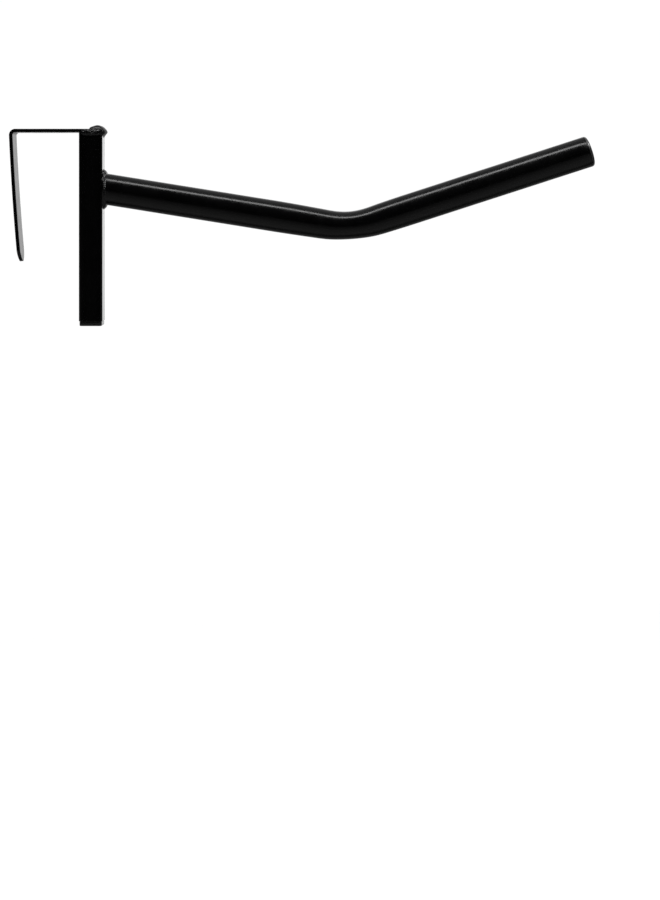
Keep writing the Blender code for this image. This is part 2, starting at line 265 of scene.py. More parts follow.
def paint(name, base, rough, peel, grit, coat):
    """Black baked enamel: orange peel, fine dust nibs, faint haze and settled dust on what faces up.

    rough is the lowest and highest roughness; peel and grit are the strengths of the coarse and fine bump.
    """
    material, nodes, shader, place = surface_material(name, 1.5, coat, 0.15)
    dark, pale = base + (1.0,), tuple(c * 1.7 for c in base) + (1.0,)
    dust_colour, dust_roughness = (0.16, 0.15, 0.14, 1.0), 0.8
    peel_depth, grit_depth = 0.0006, 0.0002
    cloud = nodes.noise(place, 38.0, 3.0, 0.6)
    fine = nodes.noise(place, 900.0, 2.0, 0.55)
    orange_peel = nodes.noise(place, 420.0, 1.0, 0.4)
    colour = nodes.mix(nodes.spread(cloud, 0.35, 0.7, 0.0, 1.0), dark, pale)
    normal = nodes.add("SeparateXYZ")
    nodes.link(nodes.add("NewGeometry").outputs["Normal"], normal.inputs[0])
    facing_up = nodes.spread(normal.outputs["Z"], 0.3, 1.0, 0.0, 1.0)
    specks = nodes.spread(nodes.noise(place, 1700.0, 3.0, 0.7), 0.60, 0.78, 0.0, 0.10)
    dust = nodes.maths("MULTIPLY", facing_up, specks)
    nodes.link(nodes.mix(dust, colour, dust_colour), shader.inputs["Base Color"])
    haze = nodes.spread(nodes.noise(place, 70.0, 4.0, 0.6), 0.3, 0.7, *rough)
    dusty = nodes.maths("MULTIPLY", dust, dust_roughness)
    nodes.link(nodes.maths("ADD", haze, dusty), shader.inputs["Roughness"])
    peel_normal = nodes.bump(orange_peel, peel, peel_depth)
    nodes.link(nodes.bump(fine, grit, grit_depth, peel_normal), shader.inputs["Normal"])
    return material


def plastic(name):
    """Satin moulded polyethylene: mottled gloss, fine moulded grain and a few scuffs."""
    material, nodes, shader, place = surface_material(name, 1.51, 1.0, 0.14)
    dark, pale = (0.014, 0.014, 0.0145, 1.0), (0.026, 0.026, 0.0265, 1.0)
    grain_strength, grain_depth = 0.25, 0.0002
    cloud = nodes.noise(place, 160.0, 4.0, 0.6)
    nodes.link(nodes.mix(cloud, dark, pale), shader.inputs["Base Color"])
    stretch = nodes.add("Mapping")
    stretch.inputs["Scale"].default_value = (300.0, 2600.0, 900.0)
    nodes.link(place, stretch.inputs["Vector"])
    scuffs = nodes.noise(stretch.outputs[0], 1.0)
    worn = nodes.spread(scuffs, 0.62, 0.75, 0.0, 0.14)
    satin = nodes.spread(cloud, 0.3, 0.7, 0.38, 0.52)
    nodes.link(nodes.maths("ADD", satin, worn), shader.inputs["Roughness"])
    grain = nodes.noise(place, 2600.0, 2.0, 0.5)
    nodes.link(nodes.bump(grain, grain_strength, grain_depth), shader.inputs["Normal"])
    return material


BLACK, DEEP_BLACK, WELD_BLACK = (0.0012, 0.0012, 0.0013), (0.0011, 0.0011, 0.0012), (0.0024, 0.0024, 0.0026)
PAINT = paint("black_enamel", BLACK, (0.17, 0.24), peel=0.07, grit=0.03, coat=0.0)
POST_PAINT = paint("black_enamel_thick", DEEP_BLACK, (0.16, 0.22), peel=0.05, grit=0.02, coat=1.0)
WELD_PAINT = paint("black_enamel_on_weld", WELD_BLACK, (0.14, 0.21), peel=0.14, grit=0.06, coat=0.0)
PLASTIC = plastic("black_polyethylene")


# ---------------------------------------------------------------- hanger strap

STRAP_MIDDLE_RADIUS = STRAP_BEND_RADIUS + STRAP_THICKNESS / 2
STRAP_BEND_X = -WALL_SLOT / 2 - STRAP_THICKNESS / 2 + STRAP_MIDDLE_RADIUS
STRAP_BEND_Z = STRAP_THICKNESS / 2 - STRAP_MIDDLE_RADIUS
STRAP_TURN = pi / 2 + LEG_LEAN_TOP
STRAP_FLAT = POST_HIGH.x - STRAP_BEND_X
STRAP_HEAD = STRAP_FLAT + STRAP_MIDDLE_RADIUS * STRAP_TURN  # the flat and the bend, up to the straight leg


def strap_point(distance):
    """Middle line of the strap at a distance from its end on the post: place and outward normal."""
    centre = Vector((STRAP_BEND_X, 0.0, STRAP_BEND_Z))
    if distance <= STRAP_FLAT:
        return Vector((POST_HIGH.x - distance, 0.0, STRAP_THICKNESS / 2)), UP.copy()
    if distance <= STRAP_HEAD:
        angle = pi / 2 + (distance - STRAP_FLAT) / STRAP_MIDDLE_RADIUS
        outward = Vector((cos(angle), 0.0, sin(angle)))
        return centre + outward * STRAP_MIDDLE_RADIUS, outward
    run = distance - STRAP_HEAD
    growth = (LEG_LEAN_TIP - LEG_LEAN_TOP) / LEG_LENGTH
    lean = LEG_LEAN_TOP + growth * run
    bend_end = pi / 2 + STRAP_TURN
    start = centre + Vector((cos(bend_end), 0.0, sin(bend_end))) * STRAP_MIDDLE_RADIUS
    moved = Vector((cos(LEG_LEAN_TOP) - cos(lean), 0.0, sin(LEG_LEAN_TOP) - sin(lean))) / growth
    curl = TIP_CURL * max(0.0, 1 - (LEG_LENGTH - run) / TIP_CURL_REACH) ** 2
    outward = Vector((-cos(lean), 0.0, -sin(lean)))
    return start + moved - outward * curl, outward


def strap_half_thickness(inside):
    """Half thickness of the strap at a distance in from its rounded edge."""
    inward = min(inside, STRAP_EDGE) / STRAP_EDGE
    return STRAP_THICKNESS / 2 - STRAP_EDGE + STRAP_EDGE * sqrt(max(0.0, 1 - (1 - inward) ** 2))


def strap_stations(half, tip):
    """Distances along the strap: close at its end, in the bend and round the tip."""
    coarse, coarse_end = 0.004, 0.014
    bend_start, bend_reach, bend_steps = 0.0130, 0.0145, 28
    leg_start, leg_steps, tip_steps = 0.003, 48, 28
    stations = [STRAP_EDGE * share for share in (0.0, 0.08, 0.25, 0.5, 1.0)]
    stations += [coarse * step for step in range(1, int((STRAP_HEAD - coarse_end) / coarse))]
    stations += [STRAP_HEAD - bend_start + bend_reach * step / bend_steps for step in range(bend_steps + 1)]
    leg_run = tip - STRAP_HEAD - leg_start
    stations += [STRAP_HEAD + leg_start + leg_run * step / leg_steps for step in range(leg_steps + 1)]
    stations += [tip + half * sin(pi / 2 * step / tip_steps) for step in range(1, tip_steps + 1)]
    return stations


def strap_shares(half):
    """Shares of the half width from one edge to the other, close at the rounded edges."""
    edge_steps, flat_steps = 5, 12
    edge = STRAP_EDGE / half
    near_edge = [1 - cos(pi / 2 * step / edge_steps) for step in range(edge_steps + 1)]
    shares = [-1 + edge * inset for inset in near_edge]
    far_edge = [-share for share in shares[::-1]]
    flat = [-1 + edge + (2 - 2 * edge) * step / flat_steps for step in range(1, flat_steps)]
    return shares + flat + far_edge


def make_strap():
    """The flat bar, swollen a little inside its bend and drawn in outside it, with a rounded tip."""
    half = STRAP_WIDTH / 2
    tip = STRAP_HEAD + LEG_LENGTH - half
    least_width = 0.00002
    upset_most, upset_back, upset_reach, outer_share = 0.00035, 0.005, 0.007, 0.6
    wave, wave_length = 0.00005, 0.03
    across = strap_shares(half)
    rings = []
    for distance in strap_stations(half, tip):
        place, outward = strap_point(distance)
        beyond = max(0.0, distance - tip)
        width = half * rounded_end(beyond / half, TIP_SQUARENESS) + least_width
        upset = upset_most * max(0.0, 1 - abs(distance - STRAP_HEAD + upset_back) / upset_reach)
        ring = []
        for side, order in ((1, across), (-1, across[::-1])):
            for share in order:
                offset = width * share
                inside = half - abs(offset)
                if beyond > 0:
                    spread = (beyond / half) ** TIP_SQUARENESS + abs(offset / half) ** TIP_SQUARENESS
                    inside = half * (1 - spread ** (1 / TIP_SQUARENESS))
                thick = strap_half_thickness(max(0.0, min(inside, distance)))
                reach = offset * (1 + (upset if side < 0 else -upset * outer_share) / half)
                flatness = wave * wobble(place + ACROSS * offset, wave_length, 3.0)
                ring.append(place + ACROSS * reach + outward * (side * thick + flatness))
        rings.append(ring)
    add_piece(lofted("hanger_strap_bar", rings), PAINT, ["hanger_strap"])


# ---------------------------------------------------------------- post and its plug


def square_stack(profile, per_side, wave):
    """Square rings one above another: profile gives half width, corner radius and height of each."""
    rings = []
    for half, corner, height in profile:
        ring = []
        for point in rounded_square(half, corner, per_side):
            place = Vector((POST_MIDDLE_X + point.x, point.y, height))
            out = Vector((point.x, point.y, 0.0)).normalized()
            ring.append(place + out * (wave * wobble(place, 0.035, 9.0)))
        rings.append(ring)
    return rings


def make_post():
    """The square tube, with a deburred foot; it meets the strap's underside at its top."""
    top, foot = POST_HIGH.z + 0.0002, POST_LOW.z
    steps = 40
    heights = [top - (top - foot) * step / steps for step in range(steps + 1)]
    cut = 0.00035
    outer = [(HALF, POST_CORNER, z) for z in heights[:-1] + [foot + 3 * cut]]
    outer += [(HALF, POST_CORNER, foot + cut), (HALF - cut * 0.3, POST_CORNER - cut * 0.3, foot + cut * 0.3)]
    outer += [(HALF - cut, POST_CORNER - cut, foot)]
    bore, bore_corner = HALF - POST_WALL, POST_CORNER - POST_WALL
    inner = [(bore + cut * 0.5, bore_corner, foot), (bore, bore_corner, foot + cut * 0.5)]
    inner += [(bore, bore_corner, z) for z in heights[-2::-1]]
    mesh = lofted("post_square_tube", square_stack(outer + inner, 6, 0.00004), band=True)
    add_piece(mesh, POST_PAINT, ["post_tube"])


def rib_profile(bore, core, depth):
    """Radius or half width and height of the thin ribs below a plug's head, from top to bottom."""
    tip_edge, root_fillet = 0.0004, 0.0003
    points = []
    for rib in range(PLUG_RIBS):
        top = -depth * (rib + 0.6) / PLUG_RIBS
        bottom = top - PLUG_RIB_THICKNESS
        points += [
            (core + root_fillet, top),
            (bore - tip_edge, top - 0.0001),
            (bore, top - PLUG_RIB_THICKNESS * 0.35),
            (bore, top - PLUG_RIB_THICKNESS * 0.7),
            (bore - tip_edge, bottom),
            (core + root_fillet, bottom - 0.0002),
            (core, bottom - 0.0006),
        ]
    return points


def make_post_plug():
    """The insert plug in the post's foot; its head is a little narrower than the tube, to show a step."""
    low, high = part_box("post_end_plug")
    head_top = POST_LOW.z - JOINT_GAP
    half = (high.x - low.x) / 2 - 0.0004
    upper_edge, lower_edge = 0.0009, 0.0013
    insert_corner, insert_edge = 0.0011, 0.0004
    recess = 0.00035
    bore = HALF - POST_WALL - JOINT_GAP
    core = bore * PLUG_CORE_SHARE
    profile = [
        (core * 0.2, 0.0005, high.z - insert_edge),
        (core - insert_edge, 0.0008, high.z),
        (core, insert_corner, high.z - insert_edge),
    ]
    for half_width, height in rib_profile(bore, core, high.z - head_top)[::-1]:
        profile.append((half_width, insert_corner, head_top - height))
    profile.append((core, insert_corner, head_top + 0.0001))
    profile.append((half - lower_edge, POST_CORNER - lower_edge, head_top))
    for step in range(5):
        angle = pi / 2 * step / 4
        inset = upper_edge * (1 - sin(angle))
        profile.append((half - inset, POST_CORNER - inset, head_top - upper_edge * (1 - cos(angle))))
    for step in range(9):
        angle = pi / 2 * step / 8
        inset = lower_edge * (1 - cos(angle))
        profile.append((half - inset, POST_CORNER - inset * 0.6, low.z + lower_edge * (1 - sin(angle))))
    profile += [
        (half * 0.72, 0.0020, low.z),
        (half * 0.70, 0.0020, low.z + recess),
        (half * 0.3, 0.0012, low.z + recess),
    ]
    mesh = lofted("post_foot_plug", square_stack(profile, 5, 0.00003))
    add_piece(mesh, PLASTIC, ["post_end_plug"])


# ---------------------------------------------------------------- arm and its plug

ARM_START = Vector((POST_HIGH.x, 0.0, -ARM_START_DEPTH))
ARM_OUT = Vector((cos(ARM_FALL), 0.0, -sin(ARM_FALL)))
ARM_UP = Vector((cos(ARM_RISE), 0.0, sin(ARM_RISE)))
ARM_TURN = ARM_FALL + ARM_RISE
ARM_CORNER_Z = -ARM_START_DEPTH - (ARM_CORNER_X - POST_HIGH.x - JOINT_GAP) * tan(ARM_FALL)
ARM_CORNER = Vector((ARM_CORNER_X, 0.0, ARM_CORNER_Z))
ARM_TANGENT = ARM_BEND_RADIUS * tan(ARM_TURN / 2)
ARM_HALF_ARC = ARM_BEND_RADIUS * ARM_TURN / 2
ARM_TUBE_END = ARM_CORNER + ARM_UP * (ARM_FREE_LENGTH - ARM_PLUG_HEAD - JOINT_GAP)


def arm_station(along):
    """The axis point and slope at a distance along the axis from the middle of the bend."""
    if along <= -ARM_HALF_ARC:
        return ARM_CORNER - ARM_OUT * (ARM_TANGENT - ARM_HALF_ARC - along), -ARM_FALL
    if along >= ARM_HALF_ARC:
        return ARM_CORNER + ARM_UP * (ARM_TANGENT - ARM_HALF_ARC + along), ARM_RISE
    slope = (ARM_RISE - ARM_FALL) / 2 + along / ARM_BEND_RADIUS
    start = ARM_CORNER - ARM_OUT * ARM_TANGENT
    centre = start + Vector((sin(ARM_FALL), 0.0, cos(ARM_FALL))) * ARM_BEND_RADIUS
    return centre + Vector((sin(slope), 0.0, -cos(slope))) * ARM_BEND_RADIUS, slope


def arm_crush(along):
    """Share of the diameter lost: a dent at the middle of the bend on a long soft flattening."""
    dent_share, dent_reach = 0.052, 0.045
    long_share, long_reach, long_shift = 0.048, 0.095, 0.012
    dent = cos(min(1.0, abs(along) / dent_reach) * pi / 2) ** 2
    flattening = cos(min(1.0, abs(along + long_shift) / long_reach) * pi / 2) ** 2
    return dent_share * dent + long_share * flattening


def arm_ring(centre, slope, radius, crush, wave=0.0):
    """A section of the arm: lower and wider by the crush, and flattest on top, where the die pressed."""
    top_share = side_share = 0.35  # of the crush, lost on top and gained at the sides
    above = Vector((-sin(slope), 0.0, cos(slope)))
    ring = []
    for side in range(ARM_SIDES):
        angle = 2 * pi * side / ARM_SIDES
        top_flat = 1 - crush * (top_share * max(0.0, cos(angle)) ** 4 - 0.1)
        tall, wide = radius * (1 - crush) * top_flat, radius * (1 + crush * side_share)
        place = centre + above * (tall * cos(angle)) + ACROSS * (wide * sin(angle))
        ring.append(place + (place - centre).normalized() * (wave * wobble(place, 0.04, 5.0)))
    return ring


def slide_to_plane(ring, direction, plane_x):
    """Moves a ring's points along a direction until they lie at plane_x."""
    return [point + direction * ((plane_x - point.x) / direction.x) for point in ring]


def make_arm():
    """The bent tube, cut flat against the post and deburred at its free end."""
    first = (ARM_CORNER - ARM_START).length - ARM_TANGENT + ARM_HALF_ARC
    last = (ARM_TUBE_END - ARM_CORNER).length - ARM_TANGENT + ARM_HALF_ARC
    cut = 0.0004
    post_end = 0.008
    bend_reach, bend_steps, straight_steps = 0.12, 64, 18
    near_run, far_run = first - post_end - bend_reach, last - cut - bend_reach
    places = [-first + post_end + near_run * step / straight_steps for step in range(straight_steps)]
    places += [-bend_reach + 2 * bend_reach * step / bend_steps for step in range(bend_steps)]
    places += [bend_reach + far_run * step / straight_steps for step in range(straight_steps + 1)]
    surfaces = []
    for radius, wave, outward in ((ARM_RADIUS, 0.00005, 1), (ARM_RADIUS - ARM_WALL, 0.0, -1)):
        start, slope = arm_station(-first)
        rings = [slide_to_plane(arm_ring(start, slope, radius, 0.0), ARM_OUT, POST_HIGH.x)]
        for along in places:
            centre, slope = arm_station(along)
            rings.append(arm_ring(centre, slope, radius, arm_crush(along), wave))
        for share in (0.6, 1.0):
            centre, slope = arm_station(last - cut + cut * share)
            inset = cut * (1 - sqrt(1 - share * share))
            rings.append(arm_ring(centre, slope, radius - outward * inset, 0.0))
        surfaces.append(rings)
    outside, inside = surfaces
    mesh = lofted("arm_round_tube", outside + inside[::-1], band=True)
    add_piece(mesh, PAINT, ["arm_tube"])


def make_arm_plug():
    """The round plug in the arm's free end: a domed head with a small gate mark, and ribs in the tube."""
    dome, corner = 0.0012, 0.0036
    gate_radius, gate_depth = 0.0013, 0.0004
    insert_depth, insert_edge, seat_edge = 0.0200, 0.0004, 0.0003
    flat = ARM_RADIUS - corner
    rim = ARM_PLUG_HEAD - dome
    bore = ARM_RADIUS - ARM_WALL - JOINT_GAP
    core = bore * PLUG_CORE_SHARE
    profile = [
        (0.0004, ARM_PLUG_HEAD - gate_depth),
        (0.0011, ARM_PLUG_HEAD - gate_depth),
        (gate_radius, ARM_PLUG_HEAD - 0.00005),
    ]
    for step in range(1, 11):
        share = step / 10
        profile.append((gate_radius + (flat - gate_radius) * share, ARM_PLUG_HEAD - dome * share ** 2.2))
    for step in range(1, 13):
        angle = pi / 2 * (1 - step / 12)
        profile.append((flat + corner * cos(angle), rim - corner + corner * sin(angle)))
    profile += [(ARM_RADIUS, seat_edge), (ARM_RADIUS - seat_edge, 0.0), (core + 0.0006, 0.0), (core, -0.0005)]
    profile += rib_profile(bore, core, insert_depth)
    profile.append((core, insert_edge - insert_depth))
    profile += [(core - insert_edge, -insert_depth), (core * 0.1, -insert_depth)]
    spin = Matrix.Translation(ARM_TUBE_END + ARM_UP * JOINT_GAP) @ Matrix.Rotation(pi / 2 - ARM_RISE, 4, "Y")
    rings = []
    for radius, height in profile:
        ring = []
        for side in range(ARM_PLUG_SIDES):
            angle = 2 * pi * side / ARM_PLUG_SIDES
            ring.append(spin @ Vector((radius * cos(angle), radius * sin(angle), height)))
        rings.append(ring)
    add_piece(lofted("arm_tip_plug", rings), PLASTIC, ["arm_end_plug"])


# ---------------------------------------------------------------- weld beads

WELD_SHARP = 60  # degrees, so that ripples stay smooth
SUNK = 0.0002  # how deep a bead's toes lie in the metal, so that no gap shows


def add_weld(name, rings, replaced, band=False):
    add_piece(lofted(name, rings, band), WELD_PAINT, [replaced], WELD_SHARP)


def ripple(phase):
    """One weld ripple: a soft swell with a sharper trailing edge, 0 to 1."""
    share = phase - floor(phase)
    return sin(pi * share ** 0.7) ** 0.8


def bead_ring(one_toe, other_toe, root, crown, phase, seed, depth, steps, lumps=1.0):
    """Cross-section of a bead from toe to toe over its crown, with its root buried in the metal.

    phase counts ripples along the bead, depth is a ripple's share of the bead's height.
    """
    bow_back, unevenness = 0.55, 0.35
    middle = (one_toe + other_toe) / 2
    control = crown * 2 - middle
    ring = []
    for step in range(steps + 1):
        share = step / steps
        base = one_toe.lerp(other_toe, share)
        top = one_toe.lerp(control, share).lerp(control.lerp(other_toe, share), share)
        bow = (2 * share - 1) ** 2
        wave = ripple(phase - bow_back * bow + unevenness * wobble(top, 0.006, seed))
        lump = 0.16 * wobble(top, 0.0028, seed + 4.0) + 0.10 * wobble(top, 0.0011, seed + 8.0)
        height = 1 - depth * (1 - wave) + lumps * lump * (1 - bow * bow)
        ring.append(base + (top - base) * height)
    ring.append(root)
    return ring


def make_side_bead(name, side, replaced):
    """The bead along the seam between strap and post, -1 at the front and 1 at the back."""
    low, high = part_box(replaced)
    start, end = low.x, high.x - 0.0006
    above, below, proud, crown_z = 0.0046, 0.0044, 0.0021, 0.0004
    face_depth, root_depth, root_z = 0.00025, 0.0020, -0.0002
    wander, wander_length = 0.0006, 0.0042
    steps, steps_across = 150, 22
    pitch, ripple_depth, lumps = 0.0026, 0.42, 2.2
    rings = []
    for step in range(steps + 1):
        share = step / steps
        x = start + (end - start) * share
        swell = sqrt(max(0.0, 1 - abs(2 * share - 1) ** 5))
        edge = wander * wobble(Vector((x, side * 0.1, 0.0)), wander_length, 1.0 + side)
        face = side * (HALF - face_depth)
        round_corner = max(0.0, x - (POST_HIGH.x - POST_CORNER))
        drawn_in = side * 0.5 * round_corner ** 2 / POST_CORNER
        one_toe = Vector((x, face - side * SUNK, above * swell + 0.4 * edge))
        other_toe = Vector((x, face - drawn_in, -below * swell + edge))
        root = Vector((x, side * (HALF - root_depth), root_z))
        crown = Vector((x, side * (HALF + proud * swell) - drawn_in * 0.5, crown_z))
        points = (one_toe, other_toe, root, crown)
        rings.append(bead_ring(*points, x / pitch, 2.0 + side, ripple_depth, steps_across, lumps))
    add_weld(name, rings, replaced)


# The heavy bead at the strap's end has two passes: one over the strap's top, one round its end.
END_TOP = STRAP_THICKNESS - SUNK
END_FACE = POST_HIGH.x - SUNK
END_CORE = Vector((END_FACE - 0.0045, 0.0, 0.0006))
END_HALF_LENGTH = HALF + 0.0018
TOP_PASS_FLAT, TOP_PASS_ROUNDING, TOP_PASS_HEIGHT = 0.0064, 0.0092, 0.0094
END_PASS_SQUARENESS = 5.0
# The section at the bead's middle, from the strap's top round to the post's far face: x, z and how square
# the bead is where it stops at that height. None is for the pass over the top, which has its own shape.
END_OUTLINE = [
    (END_FACE - 0.0190, END_TOP - 0.0005, None),
    (END_FACE - 0.0172, END_TOP + 0.0024, None),
    (END_FACE - 0.0125, END_TOP + 0.0043, None),
    (END_FACE - 0.0083, END_TOP + 0.0054, None),
    (END_FACE - 0.0033, END_TOP + 0.0047, None),
    (END_FACE + 0.0004, END_TOP + 0.0029, 2.6),
    (END_FACE + 0.0019, END_TOP + 0.0008, END_PASS_SQUARENESS),
    (END_FACE + 0.0037, 0.0028, END_PASS_SQUARENESS),
    (END_FACE + 0.0043, 0.0004, END_PASS_SQUARENESS),
    (END_FACE + 0.0028, -0.0021, 4.2),
    (END_FACE + 0.0012, -0.0046, 3.2),
    (END_FACE - 0.0001, -0.0078, 2.5),
]


def top_pass_swell(across):
    """Share of the top pass's height left at a distance across: level over its flat, then a round end."""
    beyond = max(0.0, abs(across) - TOP_PASS_FLAT)
    left = TOP_PASS_HEIGHT - TOP_PASS_ROUNDING + sqrt(max(0.0, TOP_PASS_ROUNDING ** 2 - beyond ** 2))
    return max(0.0, left / TOP_PASS_HEIGHT)


def end_bead_guide(u, on_top):
    """The end bead's outline drawn in towards its core, at a share u of its half length."""
    least = 0.002
    guide = []
    for x, z, squareness in END_OUTLINE:
        if squareness is None:
            swell, reach = on_top, sqrt(on_top)
        else:
            swell = reach = rounded_end(u, squareness)
        offset = Vector(((x - END_CORE.x) * (reach + least), 0.0, (z - END_CORE.z) * (swell + least)))
        guide.append(END_CORE + offset)
    return guide


def end_bead_relief(point, run, t, second):
    """How far the end bead's surface stands in or out: ripples that bow along the run, on soft lumps.

    t goes round the section, and second is 0 on the top pass and 1 on the end pass.
    """
    pitch, bow_back, unevenness = 0.0029, 0.9, 0.35
    bow = (2 * t - 1) ** 2
    wave = ripple(run / pitch - bow_back * bow + unevenness * wobble(point, 0.009, 1.5))
    groove = 0.00010 + 0.00040 * second
    lump = 0.0004 * wobble(point, 0.0052, 2.5) + 0.00008 * wobble(point, 0.0015, 7.5)
    return lump - groove * (1 - wave)


def make_end_bead():
    """The heavy bead at the strap's end, from its top round its end and down on the post's far face."""
    steps, steps_across = 260, 66
    nearby = 0.02  # of the way round the section, to find which way is out
    wrap = 0.010  # of extra run, by which the ripples turn over the bead's ends
    join_start, join_length = 0.4, 0.2  # of the section, where the top pass gives way to the end pass
    upright, fade_rate = 1.7, 2.5
    rings = []
    for step in range(steps + 1):
        u = sin((2 * step / steps - 1) * pi / 2)
        y = END_HALF_LENGTH * u
        on_top = top_pass_swell(y)
        round_end = rounded_end(u, END_PASS_SQUARENESS)
        guide = end_bead_guide(u, on_top)
        ring = []
        for spot in range(steps_across + 1):
            t = spot / steps_across
            second = blend_smooth((t - join_start) / join_length)
            swell = on_top + (round_end - on_top) * second
            ahead = along_guide(guide, min(1.0, t + nearby))
            behind = along_guide(guide, max(0.0, t - nearby))
            out = Vector((-(ahead.z - behind.z), 0.0, ahead.x - behind.x)).normalized()
            blunt = 1 + 3 * second
            out = out * swell ** blunt * upright + ACROSS * (u * abs(u) ** blunt)
            out.normalize()
            point = along_guide(guide, t) + Vector((0.0, y, 0.0))
            fade = sqrt(sin(pi * t)) * min(1.0, swell * fade_rate)
            run = y + (1 - swell) * wrap * (1 if u > 0 else -1)
            ring.append(point + out * (fade * end_bead_relief(point, run, t, second)))
        ring.append(END_CORE + Vector((0.0, y, 0.0)))
        rings.append(ring)
    add_weld("weld_over_strap_end", rings, "strap_weld_end")


def post_face_x(across):
    """The post's far surface at a distance across from its middle, round the corner and on to its side."""
    flat = HALF - POST_CORNER
    if abs(across) <= flat:
        return POST_HIGH.x
    turned = min(abs(across) - flat, POST_CORNER * 0.999)
    return POST_HIGH.x - POST_CORNER + sqrt(POST_CORNER ** 2 - turned ** 2)


def arm_bead_points(angle):
    """Toes, root and crown of the ring bead where the arm meets the post.

    Above and below the arm it is a fillet. At the sides, where the arm is wider than the post, it wraps
    round the post's corner and its toe goes no further than the middle of that corner.
    """
    leg_length, leg_change, bulge = 0.0058, 0.10, 0.0009
    shrink_start, shrink_share = 0.006, 0.80  # of the toe on the post, towards the sides
    wrap_start, wrap_run, wrap_proud = 0.010, 0.0065, 0.0022
    root_depth, root_out = 0.0014, 0.0010
    widest = HALF - POST_CORNER * (1 - sqrt(0.5)) - SUNK
    above = Vector((sin(ARM_FALL), 0.0, cos(ARM_FALL)))
    round_arm = above * cos(angle) + ACROSS * sin(angle)
    surface = ARM_START + round_arm * (ARM_RADIUS - SUNK)
    corner = surface + ARM_OUT * ((POST_HIGH.x - surface.x) / ARM_OUT.x)
    outward = Vector((0.0, round_arm.y, round_arm.z)).normalized()
    leg = leg_length * (1 + leg_change * wobble(corner, 0.008, 3.3))
    below = max(0.0, -cos(angle) - 0.6)  # under the arm, where the bead sags down the post
    arm_toe = corner + ARM_OUT * (leg * (1 - 0.3 * below))
    overhang = blend_smooth((abs(corner.y) - shrink_start) / (HALF - shrink_start))
    toe = corner + outward * (leg * (1 - shrink_share * overhang) * (1 + 0.35 * below))
    on_face = max(-widest, min(widest, toe.y))
    post_toe = Vector((post_face_x(on_face) - SUNK, on_face, toe.z))
    slope = (outward + Vector((1.0, 0.0, 0.0))).normalized()
    fillet_crown = (arm_toe + post_toe) / 2 + slope * bulge
    wrap_crown = corner + outward * bulge + Vector((wrap_proud, 0.0, 0.0))
    crown = fillet_crown.lerp(wrap_crown, blend_smooth((abs(corner.y) - wrap_start) / wrap_run))
    inner = Vector((0.0, round_arm.y, round_arm.z)) * (ARM_RADIUS - root_depth)
    root = Vector((POST_HIGH.x + root_out, 0.0, ARM_START.z)) + inner
    return arm_toe, post_toe, root, crown


def make_arm_bead():
    """The ring bead round the arm, in one unbroken run of ripples."""
    steps, steps_across, ripples = 420, 18, 50
    seed, ripple_depth = 0.7, 0.26
    rings = []
    for step in range(steps):
        share = step / steps
        points = arm_bead_points(2 * pi * share)
        rings.append(bead_ring(*points, share * ripples, seed, ripple_depth, steps_across))
    add_weld("weld_ring_at_arm", rings, "arm_weld", band=True)


def make_spatter():
    """A few grains of weld spatter, painted over, half sunk in the steel near the beads."""
    unevenness, flattening = 0.15, 0.45
    far_side = Vector((1.0, 0.0, 0.0))
    grains = [
        (Vector((POST_HIGH.x - 0.0110, -HALF, -0.0082)), 0.00042, -ACROSS),
        (Vector((POST_HIGH.x - 0.0240, 0.0040, STRAP_THICKNESS)), 0.00038, UP),
        (Vector((POST_HIGH.x - 0.0225, -0.0085, STRAP_THICKNESS)), 0.00030, UP),
        (Vector((POST_HIGH.x, 0.0060, -0.0130)), 0.00036, far_side),
        (Vector((POST_HIGH.x, -0.0050, -0.1090)), 0.00040, far_side),
        (Vector((POST_HIGH.x - 0.0085, HALF, -0.0090)), 0.00036, ACROSS),
    ]
    for number, (place, size, outward) in enumerate(grains):
        work = bmesh.new()
        bmesh.ops.create_icosphere(work, subdivisions=3, radius=size)
        for vertex in work.verts:
            vertex.co *= 1 + unevenness * wobble(vertex.co + place, size * 1.6, number)
            vertex.co -= outward * (vertex.co.dot(outward) * flattening)
            vertex.co += place
        mesh = bpy.data.meshes.new(f"weld_spatter_{number}")
        work.to_mesh(mesh)
        work.free()
        add_piece(mesh, WELD_PAINT, sharp=80)


# ---------------------------------------------------------------- camera, stage and light

OBJECT_MIDDLE_X = 0.34
FLOOR_PLACE = (OBJECT_MIDDLE_X, 0.1, -1.05)
FLOOR_RADIUS = 1.9
WHITE = (1.0, 1.0, 1.0, 1.0)
BACKGROUND_STRENGTH = 1.02

# What the gloss reflects: brightness by how far back a direction points, from -1 in front to 1 behind.
LEVEL_STOPS = [(-1.0, 0.0), (0.70, 0.0), (0.93, 1.0), (1.0, 1.0)]
CEILING_STOPS = [
    (-0.10, 0.0),
    (0.06, 0.16),
    (0.30, 0.25),
    (0.58, 0.30),
    (0.80, 0.33),
    (0.90, 0.85),
    (0.96, 1.0),
]
GROUND_STOPS = [
    (-1.0, 0.0),
    (-0.92, 0.09),
    (-0.66, 0.17),
    (-0.12, 0.20),
    (0.10, 0.07),
    (0.30, 0.04),
    (0.50, 0.10),
    (0.76, 0.15),
    (1.0, 0.45),
]


def make_camera():
    """Level camera square to the arm; the shift puts the rack in the upper part of a tall frame."""
    data = bpy.data.cameras.new("camera")
    data.sensor_width = 36.0
    data.lens = 66.0
    data.shift_x, data.shift_y = 0.0177778, -0.2944444
    data.clip_start, data.clip_end = 0.05, 60.0
    camera = bpy.data.objects.new("camera", data)
    camera.location = (0.3609, -2.2333, -0.0708)
    camera.rotation_euler = (pi / 2, 0.0, 0.0)
    bpy.context.scene.collection.objects.link(camera)
    bpy.context.scene.camera = camera


